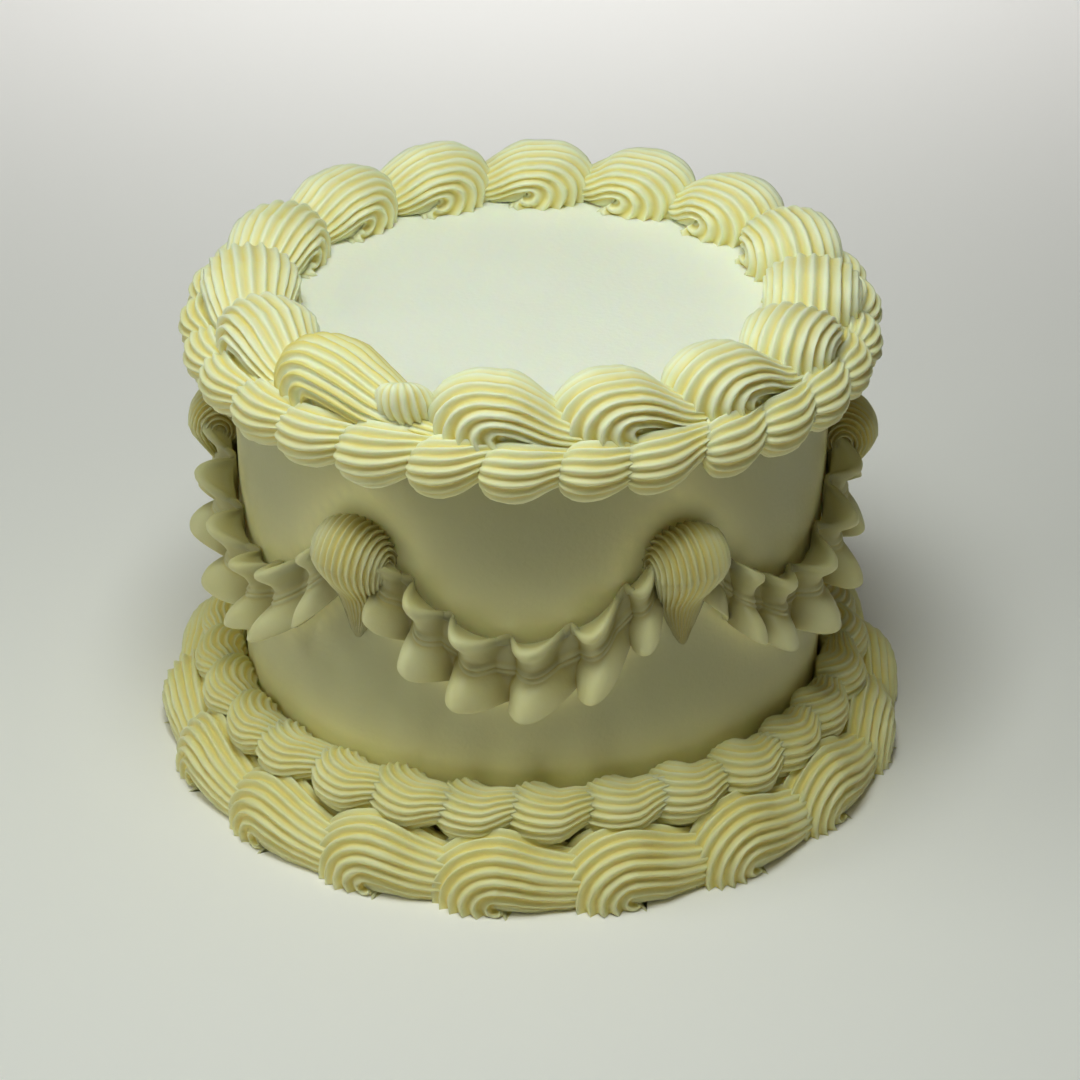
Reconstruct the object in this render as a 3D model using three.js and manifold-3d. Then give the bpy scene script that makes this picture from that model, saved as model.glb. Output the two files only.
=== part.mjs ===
// A round buttercream celebration cake with piped shell borders, ruffle swags and drop shells.
// Millimetres, +Z up, origin at the middle of the underside.

import * as THREE from "three";
import { mergeVertices } from "three/addons/utils/BufferGeometryUtils.js";
import Module from "manifold-3d";

const wasm = await Module();
wasm.setup();

// The iced cake.
const CAKE_RADIUS = 82.5;
const CAKE_HEIGHT = 129;
const EDGE_ROUND = 3;
const CAKE_SIDES = 64;

// Clearance between touching pieces.
const GAP = 0.3;
const WALL = CAKE_RADIUS + GAP;
const BED_TOP = CAKE_HEIGHT + GAP;

// Large shells on the top edge. The last one is drawn out to close the ring.
const TOP_SHELL = {
  count: 15,
  firstDeg: 261.6,
  lastSpanDeg: 35,
  ring: 75.5,
  head: 13,
  width: 27,
  height: 18.5,
  tailScale: 0.42,
  bed: BED_TOP,
  ridges: 5,
};

// Large shells round the foot.
const BASE_SHELL = {
  count: 18,
  firstDeg: 263,
  ring: 95.2,
  head: 14,
  width: 24.2,
  height: 21.5,
  tailScale: 0.55,
  bed: 0,
  ridges: 5,
};

// Upright shells over the joins of the swags, head up and tail down.
const DROP_SHELL = {
  count: 6,
  firstDeg: 237.5,
  eyeHeight: 93,
  head: 12,
  tail: 28,
  tailScale: 0.12,
  width: 23,
  height: 15,
  ridges: 5,
};

// Ridge depth as a share of a shell's size, how far a tail runs under the next head as a
// share of that head, and how long the tail stays full.
const RIDGE_DEPTH = 0.13;
const TAIL_OVERLAP = 0.55;
const TAIL_EASE = 1.4;

// Facets of the plain shapes that keep neighbours clear of each other.
const ENVELOPE_RIDGES = 3;
const ENVELOPE_SIDES = 36;
const ENVELOPE_PROFILE_SIDES = 8;

// Small shells along the upper edge of the wall, as one piped rope.
const TOP_BEADS = {
  count: 30,
  firstDeg: 252,
  radius: 9.3,
  out: 6,
  up: -5,
  ridges: 4,
};

// Small shells lying on the foot border, against the wall.
const BASE_BEADS = {
  count: 29,
  firstDeg: 258,
  radius: 8,
  out: 7.4,
  height: 23,
  seat: 17,
  ridges: 4,
};
const BEAD_RIDGE_DEPTH = 0.12;

// The back of a rope is straight from outline to outline, so it stands a little off the wall.
const ROPE_BACK = WALL + 0.25;

// Where along one bead its outlines stand, and how large they are.
const BEAD_STATIONS = [
  { along: 0.18, scale: 1 },
  { along: 0.93, scale: 0.68 },
];

// Ruffle swags hung between the drop shells.
const SWAG = {
  endHeight: 105,
  sag: 36.5,
  startDeg: 5.5,
  folds: 7,
  depth: 10,
  thickness: 2,
};

// Rows of the ruffle ribbon, from its lip down to its hem: height and fold depth.
const RUFFLE_ROWS = [
  { drop: -3, depth: 0.8 },
  { drop: 5, depth: 0.62 },
  { drop: 15.5, depth: 1 },
];

// One fold of the ruffle, seen from above, from valley to valley.
const FOLD_SHAPE = [0, 0.14, 1, 1, 0.14];

const BUTTERCREAM = { color: 0xf1ebbc, roughness: 0.5, metalness: 0 };
const SMOOTH_COAT = { color: 0xeeebc8, roughness: 0.42, metalness: 0 };

const radians = THREE.MathUtils.degToRad;

// Joins matching outlines into one closed body. A ring closes on itself, and other bodies
// are closed at both ends by the flat cap shape.
function loft(outlines, capShape) {
  const isRing = !capShape;
  const size = outlines[0].length;
  const triangles = [];
  const strips = isRing ? outlines.length : outlines.length - 1;
  for (let i = 0; i < strips; i++) {
    const here = i * size;
    const next = ((i + 1) % outlines.length) * size;
    for (let j = 0; j < size; j++) {
      const k = (j + 1) % size;
      triangles.push(here + j, here + k, next + k);
      triangles.push(here + j, next + k, next + j);
    }
  }
  if (!isRing) {
    const last = (outlines.length - 1) * size;
    for (const [a, b, c] of THREE.ShapeUtils.triangulateShape(capShape, [])) {
      triangles.push(a, c, b);
      triangles.push(last + a, last + b, last + c);
    }
  }
  const geometry = new THREE.BufferGeometry().setFromPoints(outlines.flat());
  geometry.setIndex(triangles);
  return geometry;
}

// A closed geometry as a solid that can be cut.
function solidOf(geometry) {
  const bare = geometry.clone();
  bare.deleteAttribute("normal");
  bare.deleteAttribute("uv");
  const merged = mergeVertices(bare, 1e-3);
  const corners = merged.index.array;
  const kept = [];
  for (let i = 0; i < corners.length; i += 3) {
    const [a, b, c] = corners.slice(i, i + 3);
    if (a !== b && b !== c && c !== a) kept.push(a, b, c);
  }
  const mesh = new wasm.Mesh({
    numProp: 3,
    vertProperties: new Float32Array(merged.attributes.position.array),
    triVerts: new Uint32Array(kept),
  });
  return new wasm.Manifold(mesh);
}

// The largest body left of a solid once the cutters are taken away.
function cut(solid, ...cutters) {
  const left = cutters.reduce((rest, cutter) => rest.subtract(cutter), solid);
  const bodies = left.decompose();
  return bodies.sort((a, b) => b.volume() - a.volume())[0];
}

// A solid as a named mesh with its own material.
function meshOf(name, solid, finish) {
  const { numProp, vertProperties, triVerts } = solid.getMesh();
  const geometry = new THREE.BufferGeometry();
  geometry.setAttribute("position", new THREE.BufferAttribute(vertProperties, numProp));
  geometry.setIndex(new THREE.BufferAttribute(triVerts, 1));
  geometry.computeVertexNormals();
  const mesh = new THREE.Mesh(geometry, new THREE.MeshStandardMaterial(finish));
  mesh.name = name;
  return mesh;
}

// Half of a ridged strand across the shell, from one side of its bed over to the other.
function shellArch(width, height, ridges, depth) {
  const points = [];
  const steps = 2 * ridges;
  for (let j = 0; j <= steps; j++) {
    const angle = (Math.PI * j) / steps;
    const groove = j % 2 === 0 ? 1 - depth : 1;
    const across = (width / 2) * Math.cos(angle) * groove;
    points.push(new THREE.Vector2(across, height * Math.sin(angle) * groove));
  }
  return points;
}

// A shell in its own frame: x from head to tail, y across, z up from the bed. The strand
// rolls up and over its eye, at the origin, and then thins out along the tail.
function shellOutlines(shape, arch) {
  const outlines = [];
  const rollSteps = 3;
  for (let i = 0; i <= rollSteps; i++) {
    const roll = (i / rollSteps) * (Math.PI / 2);
    const reach = shape.head / shape.height;
    outlines.push(
      arch.map((p) => new THREE.Vector3(-p.y * reach * Math.cos(roll), p.x, p.y * Math.sin(roll))),
    );
  }
  const tailSteps = 2;
  for (let i = 1; i <= tailSteps; i++) {
    const along = i / tailSteps;
    const scale = THREE.MathUtils.lerp(1, shape.tailScale, along ** TAIL_EASE);
    outlines.push(
      arch.map((p) => new THREE.Vector3(shape.tail * along, p.x * scale, p.y * scale)),
    );
  }
  return outlines;
}

// A shell whose own frame is bent by the given placing.
function shellSolid(shape, place) {
  const arch = shellArch(shape.width, shape.height, shape.ridges, RIDGE_DEPTH);
  const outlines = shellOutlines(shape, arch);
  return solidOf(loft(outlines.map((row) => row.map(place)), arch));
}

// The same shell without ridges and a little larger, which clears what runs under it.
function shellEnvelope(shape, place) {
  const sunk = 1;
  const around = 1 / Math.cos(Math.PI / (4 * ENVELOPE_RIDGES));
  const grown = {
    ...shape,
    head: around * (shape.head + GAP),
    width: around * (shape.width + 2 * GAP),
    height: around * (shape.height + sunk + GAP),
  };
  const arch = shellArch(grown.width, grown.height, ENVELOPE_RIDGES, 0);
  const lower = (p) => place(new THREE.Vector3(p.x, p.y, p.z - sunk));
  return solidOf(loft(shellOutlines(grown, arch).map((row) => row.map(lower)), arch));
}

// Bends a shell round the cake, lying on a level bed with its tail running anticlockwise.
function onRing(ring, bed, eyeAngle) {
  return (p) => {
    const angle = eyeAngle + p.x / ring;
    const radius = ring - p.y;
    return new THREE.Vector3(radius * Math.cos(angle), radius * Math.sin(angle), bed + p.z);
  };
}

// Stands a shell against the wall with its tail running down.
function onWall(eyeHeight, eyeAngle) {
  return (p) => {
    const angle = eyeAngle + p.y / WALL;
    const radius = WALL + p.z;
    return new THREE.Vector3(radius * Math.cos(angle), radius * Math.sin(angle), eyeHeight - p.x);
  };
}

// A border of shells, each running under the head of the next and cut clear of the given rope.
function shellBorder(name, border, spans, rope) {
  let eyeAngle = radians(border.firstDeg);
  const shells = spans.map((span) => {
    const reach = span * border.ring;
    const shape = { ...border, tail: reach - border.head * (1 - TAIL_OVERLAP) };
    const place = onRing(border.ring, border.bed, eyeAngle);
    eyeAngle += span;
    return { solid: shellSolid(shape, place), envelope: shellEnvelope(shape, place) };
  });
  return shells.map((shell, i) => {
    const next = shells[(i + 1) % shells.length];
    const number = String(i + 1).padStart(2, "0");
    return meshOf(`${name}_${number}`, cut(shell.solid, next.envelope, rope), BUTTERCREAM);
  });
}

// The outline of a bead rope as radius and height, from its upper contact with the cake
// round the outside to its lower one.
function ropeOutline(centre, beads, fromAngle, toAngle) {
  const steps = 2 * beads.ridges;
  const points = [];
  for (let j = 0; j <= steps; j++) {
    const angle = fromAngle + ((toAngle - fromAngle) * j) / steps;
    const isGroove = j % 2 === 0 && j > 0 && j < steps;
    const reach = beads.radius * (isGroove ? 1 - BEAD_RIDGE_DEPTH : 1);
    const radius = centre.x + reach * Math.cos(angle);
    points.push(new THREE.Vector2(radius, centre.y + reach * Math.sin(angle)));
  }
  return points;
}

// A rope of beads: the outline swells and thins about its anchor on the cake.
function beadRope(beads, outline, anchor) {
  const outlines = [];
  const pitch = (2 * Math.PI) / beads.count;
  for (let bead = 0; bead < beads.count; bead++) {
    for (const { along, scale } of BEAD_STATIONS) {
      const angle = radians(beads.firstDeg) + (bead + along) * pitch;
      outlines.push(
        outline.map((p) => {
          const radius = anchor.x + (p.x - anchor.x) * scale;
          const height = anchor.y + (p.y - anchor.y) * scale;
          return new THREE.Vector3(radius * Math.cos(angle), radius * Math.sin(angle), height);
        }),
      );
    }
  }
  return solidOf(loft(outlines, null));
}

// A plain ring that clears a bead rope all round.
function ropeEnvelope(centre, radius) {
  const around = radius / Math.cos(Math.PI / ENVELOPE_PROFILE_SIDES);
  const circle = new THREE.EllipseCurve(centre.x, centre.y, around, around);
  const profile = circle.getPoints(ENVELOPE_PROFILE_SIDES);
  const ring = new THREE.LatheGeometry(profile, ENVELOPE_SIDES);
  return solidOf(ring.rotateX(Math.PI / 2));
}

// The iced cake itself, one solid with a softly rounded top edge.
function cakeBody() {
  const corner = CAKE_RADIUS - EDGE_ROUND;
  const profile = new THREE.Path();
  profile.moveTo(0, 0);
  profile.lineTo(CAKE_RADIUS, 0);
  profile.lineTo(CAKE_RADIUS, CAKE_HEIGHT - EDGE_ROUND);
  profile.absarc(corner, CAKE_HEIGHT - EDGE_ROUND, EDGE_ROUND, 0, Math.PI / 2);
  profile.lineTo(0, CAKE_HEIGHT);
  const body = new THREE.LatheGeometry(profile.getPoints(1), CAKE_SIDES);
  return meshOf("cake_body", solidOf(body.rotateX(Math.PI / 2)), SMOOTH_COAT);
}

// A plain drum that keeps a piece clear of the wall.
function wallEnvelope() {
  const drum = new THREE.CylinderGeometry(WALL, WALL, CAKE_HEIGHT, CAKE_SIDES);
  return solidOf(drum.rotateX(Math.PI / 2).translate(0, 0, CAKE_HEIGHT / 2));
}

// The rope along the top edge sits astride the corner of the cake.
function topRope() {
  const anchor = new THREE.Vector2(ROPE_BACK, BED_TOP);
  const centre = new THREE.Vector2(ROPE_BACK + TOP_BEADS.out, BED_TOP + TOP_BEADS.up);
  const foot = -Math.PI + Math.acos(TOP_BEADS.out / TOP_BEADS.radius);
  const lip = Math.PI + Math.asin(TOP_BEADS.up / TOP_BEADS.radius);
  const outline = [...ropeOutline(centre, TOP_BEADS, lip, foot), anchor];
  return { solid: beadRope(TOP_BEADS, outline, anchor), centre };
}

// The rope above the foot border leans on the wall, and thins towards its seat on the border.
function baseRope() {
  const anchor = new THREE.Vector2(ROPE_BACK, BASE_BEADS.seat);
  const centre = new THREE.Vector2(ROPE_BACK + BASE_BEADS.out, BASE_BEADS.height);
  const lip = Math.PI - Math.acos(BASE_BEADS.out / BASE_BEADS.radius);
  const outline = ropeOutline(centre, BASE_BEADS, lip, -lip);
  return { solid: beadRope(BASE_BEADS, outline, anchor), centre };
}

// The ribbon's middle line in one row, as angle and radius round the cake, over all folds.
function ruffleLine(row, startAngle, span) {
  const line = [];
  const steps = FOLD_SHAPE.length * SWAG.folds;
  for (let i = 0; i <= steps; i++) {
    const out = FOLD_SHAPE[i % FOLD_SHAPE.length] * row.depth * SWAG.depth;
    const angle = startAngle + (span * i) / steps;
    const radius = WALL + 0.75 * SWAG.thickness + out;
    line.push(new THREE.Vector2(radius * Math.cos(angle), radius * Math.sin(angle)));
  }
  return line;
}

// A line set off sideways by half the ribbon's thickness, to one side or the other.
function offsetLine(line, distance) {
  return line.map((point, i) => {
    const before = line[Math.max(i - 1, 0)];
    const after = line[Math.min(i + 1, line.length - 1)];
    const along = after.clone().sub(before).normalize();
    return new THREE.Vector2(point.x + along.y * distance, point.y - along.x * distance);
  });
}

// One ruffle swag, a folded ribbon that sags between two drop shells.
function ruffleSwag(firstAngle) {
  const pitch = (2 * Math.PI) / DROP_SHELL.count;
  const startAngle = firstAngle + radians(SWAG.startDeg);
  const span = pitch - 2 * radians(SWAG.startDeg);
  const faces = RUFFLE_ROWS.map((row) => {
    const line = ruffleLine(row, startAngle, span);
    return {
      outer: offsetLine(line, SWAG.thickness / 2),
      inner: offsetLine(line, -SWAG.thickness / 2),
    };
  });
  const outlines = faces[0].outer.map((_, i, all) => {
    const share = (radians(SWAG.startDeg) + (span * i) / (all.length - 1)) / pitch;
    const hang = SWAG.endHeight - SWAG.sag * 4 * share * (1 - share);
    const rise = (side, r) =>
      new THREE.Vector3(faces[r][side][i].x, faces[r][side][i].y, hang - RUFFLE_ROWS[r].drop);
    const rows = RUFFLE_ROWS.map((_, r) => r);
    const outer = rows.map((r) => rise("outer", r));
    const inner = rows.map((r) => rise("inner", r)).reverse();
    return [...outer, ...inner];
  });
  const profile = (inwards) =>
    RUFFLE_ROWS.map((row) => new THREE.Vector2(inwards - row.depth * SWAG.depth, -row.drop));
  return solidOf(loft(outlines, [...profile(0), ...profile(SWAG.thickness).reverse()]));
}

// Drop shells and the swags between them.
function swagsAndDrops() {
  const pitch = (2 * Math.PI) / DROP_SHELL.count;
  const first = radians(DROP_SHELL.firstDeg);
  const angles = Array.from({ length: DROP_SHELL.count }, (_, i) => first + i * pitch);
  const places = angles.map((angle) => onWall(DROP_SHELL.eyeHeight, angle));
  const envelopes = places.map((place) => shellEnvelope(DROP_SHELL, place));
  const wall = wallEnvelope();
  const drops = places.map((place, i) =>
    meshOf(`drop_shell_${i + 1}`, cut(shellSolid(DROP_SHELL, place), wall), BUTTERCREAM),
  );
  const swags = angles.map((angle, i) => {
    const next = envelopes[(i + 1) % envelopes.length];
    return meshOf(`ruffle_swag_${i + 1}`, cut(ruffleSwag(angle), envelopes[i], next), BUTTERCREAM);
  });
  return [...drops, ...swags];
}

// Angle taken by each shell of a border, the last one making up the ring.
function shellSpans(count, lastSpan) {
  const span = (2 * Math.PI - lastSpan) / (count - 1);
  return Array.from({ length: count }, (_, i) => (i < count - 1 ? span : lastSpan));
}

const cake = new THREE.Group();
const upperRope = topRope();
const lowerRope = baseRope();
const topSpans = shellSpans(TOP_SHELL.count, radians(TOP_SHELL.lastSpanDeg));
const baseSpans = shellSpans(BASE_SHELL.count, (2 * Math.PI) / BASE_SHELL.count);
const upperClearance = ropeEnvelope(upperRope.centre, TOP_BEADS.radius + GAP);
const lowerClearance = ropeEnvelope(lowerRope.centre, BASE_BEADS.radius + GAP);

cake.add(cakeBody());
cake.add(meshOf("top_bead_border", upperRope.solid, BUTTERCREAM));
cake.add(meshOf("base_bead_border", lowerRope.solid, BUTTERCREAM));
cake.add(...shellBorder("top_shell", TOP_SHELL, topSpans, upperClearance));
cake.add(...shellBorder("base_shell", BASE_SHELL, baseSpans, lowerClearance));
cake.add(...swagsAndDrops());

export default cake;
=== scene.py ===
"""A round buttercream cake with piped shell borders, ruffle swags and upright shells."""

import math
import random

import bmesh
import bpy
import numpy as np
from bpy.props import FloatProperty, FloatVectorProperty, IntProperty, PointerProperty
from bpy.types import Operator, Panel, PropertyGroup
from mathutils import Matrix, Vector


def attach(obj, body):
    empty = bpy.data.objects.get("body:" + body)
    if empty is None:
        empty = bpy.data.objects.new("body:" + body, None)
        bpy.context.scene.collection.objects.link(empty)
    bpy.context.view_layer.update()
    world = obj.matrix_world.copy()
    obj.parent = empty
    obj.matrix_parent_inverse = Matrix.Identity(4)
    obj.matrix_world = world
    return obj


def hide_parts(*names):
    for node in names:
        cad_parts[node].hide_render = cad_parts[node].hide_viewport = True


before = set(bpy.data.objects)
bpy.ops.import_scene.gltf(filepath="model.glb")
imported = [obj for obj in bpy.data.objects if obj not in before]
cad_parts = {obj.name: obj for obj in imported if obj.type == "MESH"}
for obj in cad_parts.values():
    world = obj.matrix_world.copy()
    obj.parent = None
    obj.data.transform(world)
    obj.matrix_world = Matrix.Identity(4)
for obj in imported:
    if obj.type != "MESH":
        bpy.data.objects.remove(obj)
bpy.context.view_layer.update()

bl_info = {
    "name": "Piped buttercream cake",
    "version": (1, 0, 0),
    "blender": (4, 5, 0),
    "location": "View3D > Sidebar > Cake",
    "description": "Models a smooth buttercream cake with piped borders and swags",
    "category": "Add Mesh",
}

BODY = "root"
ORIGIN = (0.0, 0.0, 0.0)

# Seeds of chance, one for each kind of piece that has any.
TOP_SHELL_SEED = 11
TOP_BEAD_SEED = 23
SWAG_SEED = 37
DROP_SHELL_SEED = 41
BASE_SHELL_SEED = 53
BASE_BEAD_SEED = 61

# How deep the flanks of a ridge lie, as a share of the depth of a groove.
FLANK = 0.6

# The strand of a shell starts this far under its eye, and rolls up over it and along its tail.
ROLL_START = math.radians(-140.0)
HEAD_STEPS = 18
TAIL_STEPS = 10

# How a shell's strand is formed, as shares: the part of its radius below its middle, its size
# where it starts, the first step along its tail, how soon the tail is flat and sunk, where its
# ridges are smeared along the tail and across the width, and how far it runs under the next head.
STRAND_LOW = 0.3
STRAND_START = 0.6
TAIL_FIRST = 0.1
TAIL_SETTLES = 1.8
SMEARED_TAIL = 0.45
SMEARED_SIDE = -0.15
TAIL_UNDER_HEAD = 0.45

# The low points of a tail are pressed down to this level, and cut off at the bed. Its ridges are
# smeared only above the second level.
FEET_LEVEL = -0.001
SMEARED_ABOVE = 0.001

# Chance in the shells of a ring: turn in degrees, and the least and most width and height.
SHELL_TURN = 4.0
SHELL_WIDTHS = (0.96, 1.03)
SHELL_HEIGHTS = (0.94, 1.03)

# How far the upright shells lean to either side in turn, with chance, in degrees, and how far
# they sink into the wall.
DROP_LEAN = 5.0
DROP_CHANCE = 2.0
DROP_SINK = 0.0006

# Chance in the beads of a row: turns in degrees, sizes, and shares of the pitch. The tail of a
# bead is drawn in and up from this share of the pitch on.
BEAD_TURNS = (("Z", 6.0), ("Y", 9.0), ("X", 4.0))
BEAD_SIZES = (0.95, 1.04)
BEAD_SHIFT = 0.08
BEAD_TAIL = 0.2

# The dab at the end of the last top shell: its tilt and place in degrees, its size against a
# bead, and how far outside the ring of eyes and above the bed its middle is.
DAB_TILT = -80.0
DAB_BEFORE = 18.5
DAB_SIZE = (0.72, 0.9, 0.66)
DAB_OUTSIDE = 0.005
DAB_RISE = 0.0045

# How far the icing swells unevenly, and how large the swells are.
SHELL_SWELLS = (0.0011, 0.007)
DROP_SWELLS = (0.0009, 0.007)
BEAD_SWELLS = (0.0008, 0.006)
RUFFLE_SWELLS = (0.0006, 0.009)
COAT_SWELL_SIZE = 0.03

# Points round the coat, and rings of points on it: on its top, their step, and on its wall.
COAT_COLUMNS = 160
TOP_RINGS = 12
TOP_RING_STEP = 0.0062
WALL_RINGS = 40

# The outlines of a bead: how far it has turned from the wall to its ring as a share, where it
# stands along its pitch, and how large it is.
TOP_BEAD = (
    (0.0, -0.15, 0.34),
    (0.0, -0.12, 0.62),
    (0.1, -0.04, 0.88),
    (0.3, 0.08, 0.99),
    (0.6, 0.22, 1.00),
    (0.9, 0.37, 0.90),
    (1.0, 0.52, 0.75),
    (1.0, 0.68, 0.64),
    (1.0, 0.85, 0.57),
    (1.0, 1.02, 0.53),
)
BASE_BEAD = (
    (0.0, 0.0, 0.70),
    (0.04, 0.0, 0.84),
    (0.16, 0.0, 0.95),
    (0.35, 0.0, 1.00),
    (0.55, 0.0, 1.00),
    (0.75, 0.02, 0.96),
    (0.95, 0.08, 0.87),
    (1.0, 0.22, 0.75),
    (1.0, 0.38, 0.63),
    (1.0, 0.56, 0.54),
    (1.0, 0.72, 0.48),
)

# Rows of the ruffle ribbon from the wall over the lip to the hem: drop in millimetres, depth
# of the folds as a share of the hem's, how far the row stands out by itself in millimetres,
# how far its folds spread aside, and how wide they are before and after their crest, the last
# three as shares of the width of a fold.
RUFFLE_ROWS = (
    (-1.6, 0.05, 0.0, 0.00, 0.31, 0.66),
    (-2.0, 0.36, 0.0, 0.03, 0.31, 0.66),
    (-2.9, 0.62, 0.0, 0.06, 0.31, 0.64),
    (-3.7, 0.78, 0.0, 0.09, 0.30, 0.62),
    (-3.7, 0.89, 0.0, 0.10, 0.30, 0.60),
    (-2.9, 0.91, 0.0, 0.10, 0.29, 0.57),
    (-1.5, 0.76, 0.0, 0.07, 0.26, 0.50),
    (0.6, 0.53, 0.0, 0.02, 0.22, 0.44),
    (2.8, 0.44, 0.0, 0.00, 0.19, 0.40),
    (4.5, 0.42, 0.0, 0.00, 0.19, 0.40),
    (5.2, 0.44, 0.9, 0.00, 0.19, 0.40),
    (5.9, 0.43, 0.0, 0.00, 0.19, 0.40),
    (6.6, 0.46, 0.9, 0.01, 0.20, 0.41),
    (7.3, 0.48, 0.0, 0.02, 0.21, 0.43),
    (9.0, 0.68, 0.0, 0.06, 0.25, 0.50),
    (11.2, 0.90, 0.0, 0.11, 0.29, 0.58),
    (13.5, 1.02, 0.0, 0.15, 0.31, 0.64),
    (15.2, 1.06, 0.0, 0.17, 0.32, 0.66),
    (15.9, 1.05, 0.0, 0.17, 0.32, 0.66),
)
CREST = 0.33
FOLD_COLUMNS = 18

# Chance in the folds of a ruffle: width and depth against the usual, the depth of the first and
# last fold, the tilt as a share of a fold, the rise of the hem and how much a fold spreads.
FOLD_WIDTHS = (0.84, 1.16)
FOLD_DEPTHS = (0.84, 1.08)
FIRST_FOLD = 0.75
LAST_FOLD = 0.8
FOLD_TILT = 0.16
FOLD_HEM = 0.0012
FOLD_SPREADS = (0.7, 1.25)

# The form of a fold: how steep it is before and after its crest, how far down the ribbon, as a
# share, the folds keep their place when they tilt, and how far the ribbon stands off the wall, as
# a share of its thickness.
FOLD_RISE = 0.65
FOLD_FALL = 1.5
TILT_ROW = 0.4
RIBBON_OFF = 0.6

# Folds are narrow at the ends of a swag and this much wider in its middle, before chance.
FOLD_NARROW = 0.45
FOLD_WIDER = 0.65

# Where the wall gets a painted glow of warm light from the piping: the lip above a swag's line, its
# hem below it, and how fast the painted glow fades above a lip, below a hem, round an upright shell
# and above the foot.
LIP_RISE = 0.005
HEM_DROP = 0.016
FADE_ABOVE = 0.010
FADE_BELOW = 0.005
FADE_ROUND = 0.006
FADE_FOOT = 0.008

# Piping on the wall gets painted shade, deeper in tone, up to this distance from it, and this much
# less painted shade beyond.
WALL_SHADE_REACH = 0.011
WALL_SHADE_FALL = 0.65

# The groove mark of the ruffles is shifted, so that they get less painted groove shade and are
# paler than the shells.
RUFFLE_PALER = -0.07

# The share of light that goes into the icing and how deep, for the piping and the coat.
PIPED_SOFT = (0.3, 0.004)
COAT_SOFT = (0.35, 0.012)

# Scale and detail of the patches and of the grain in the icing, and its least and most roughness.
PATCHES = (45.0, 3.0)
GRAIN = (700.0, 4.0)
ROUGHNESS = (0.42, 0.56)

# The groove marks at which the painted shade of a groove is nothing and full, and the heights
# between which the piping goes over from its painted shade into the paler, lit colour on top.
GROOVE_MARKS = (-0.10, 0.12)
LIT_TOP_HEIGHTS = (0.122, 0.136)

# Tints of the light on the cake and on the floor.
CAKE_LIGHT = (0.93, 1.0, 0.94)
FLOOR_LIGHT = (1.0, 1.0, 1.0)
FAR_LIGHTS = 5


def length(name, metres, text):
    """A length setting."""
    return FloatProperty(name=name, description=text, default=metres, unit="LENGTH", precision=4)


def angle(name, degrees, text):
    """An angle setting."""
    radians = math.radians(degrees)
    return FloatProperty(name=name, description=text, default=radians, subtype="ANGLE")


def share(name, value, text):
    """A setting that is a share of something else."""
    return FloatProperty(name=name, description=text, default=value, subtype="FACTOR", max=4.0)


def number(name, value, text):
    """A whole number setting."""
    return IntProperty(name=name, description=text, default=value, min=1)


def colour(name, value, text):
    """A colour setting."""
    return FloatVectorProperty(
        name=name, description=text, default=value, subtype="COLOR", min=0.0, max=1.0
    )


class CAKE_PG_coat(PropertyGroup):
    """Sizes of the smooth coat"""

    radius: length("Radius", 0.0825, "Radius of the coated wall")
    height: length("Height", 0.129, "Height of the coated top")
    edge: length("Edge", 0.003, "Rounding of the top edge")
    uneven: length("Uneven", 0.0005, "How far the scraped coat swells")


class CAKE_PG_top_shells(PropertyGroup):
    """Sizes of the large shells on the top edge"""

    count: number("Count", 15, "Shells in the ring")
    first: angle("First", 265.4, "Angle of the first eye")
    last_span: angle("Last span", 35.0, "Angle taken by the drawn out last shell")
    ring: length("Ring", 0.0762, "Radius of the ring of eyes")
    bed: length("Bed", 0.1288, "Height that the shells lie on")
    head: length("Head", 0.0215, "Reach of the head in front of the eye")
    width: length("Width", 0.0275, "Width across the head")
    height: length("Height", 0.0212, "Height of the head")
    eye: length("Eye", 0.0045, "Height of the eye above the bed")
    crown: share("Crown", 0.72, "Size of the strand where it leaves the head")
    lean: angle("Lean", 50.0, "How far the strand rolls on along its tail")
    tail: share("Tail", 0.4, "Size of the tail's end against the head")
    ease: share("Ease", 1.2, "How long the tail stays full")
    flat: share("Flat", 1.0, "Height of the tail against its width")
    drift: length("Drift", 0.006, "How far a tail that thins to nothing drifts outward")
    teeth: number("Teeth", 21, "Teeth of the piping tip")
    groove: share("Groove", 0.17, "Depth of the grooves against the radius")


class CAKE_PG_base_shells(PropertyGroup):
    """Sizes of the large shells round the foot"""

    count: number("Count", 18, "Shells in the ring")
    first: angle("First", 264.6, "Angle of the first eye")
    ring: length("Ring", 0.0952, "Radius of the ring of eyes")
    bed: length("Bed", 0.0, "Height that the shells lie on")
    head: length("Head", 0.0198, "Reach of the head in front of the eye")
    width: length("Width", 0.0255, "Width across the head")
    height: length("Height", 0.0235, "Height of the head")
    eye: length("Eye", 0.0025, "Height of the eye above the bed")
    crown: share("Crown", 0.9, "Size of the strand where it leaves the head")
    lean: angle("Lean", 25.0, "How far the strand rolls on along its tail")
    tail: share("Tail", 0.7, "Size of the tail's end against the head")
    ease: share("Ease", 1.2, "How long the tail stays full")
    flat: share("Flat", 1.0, "Height of the tail against its width")
    drift: length("Drift", 0.001, "How far a tail that thins to nothing drifts outward")
    teeth: number("Teeth", 24, "Teeth of the piping tip")
    groove: share("Groove", 0.17, "Depth of the grooves against the radius")


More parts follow.
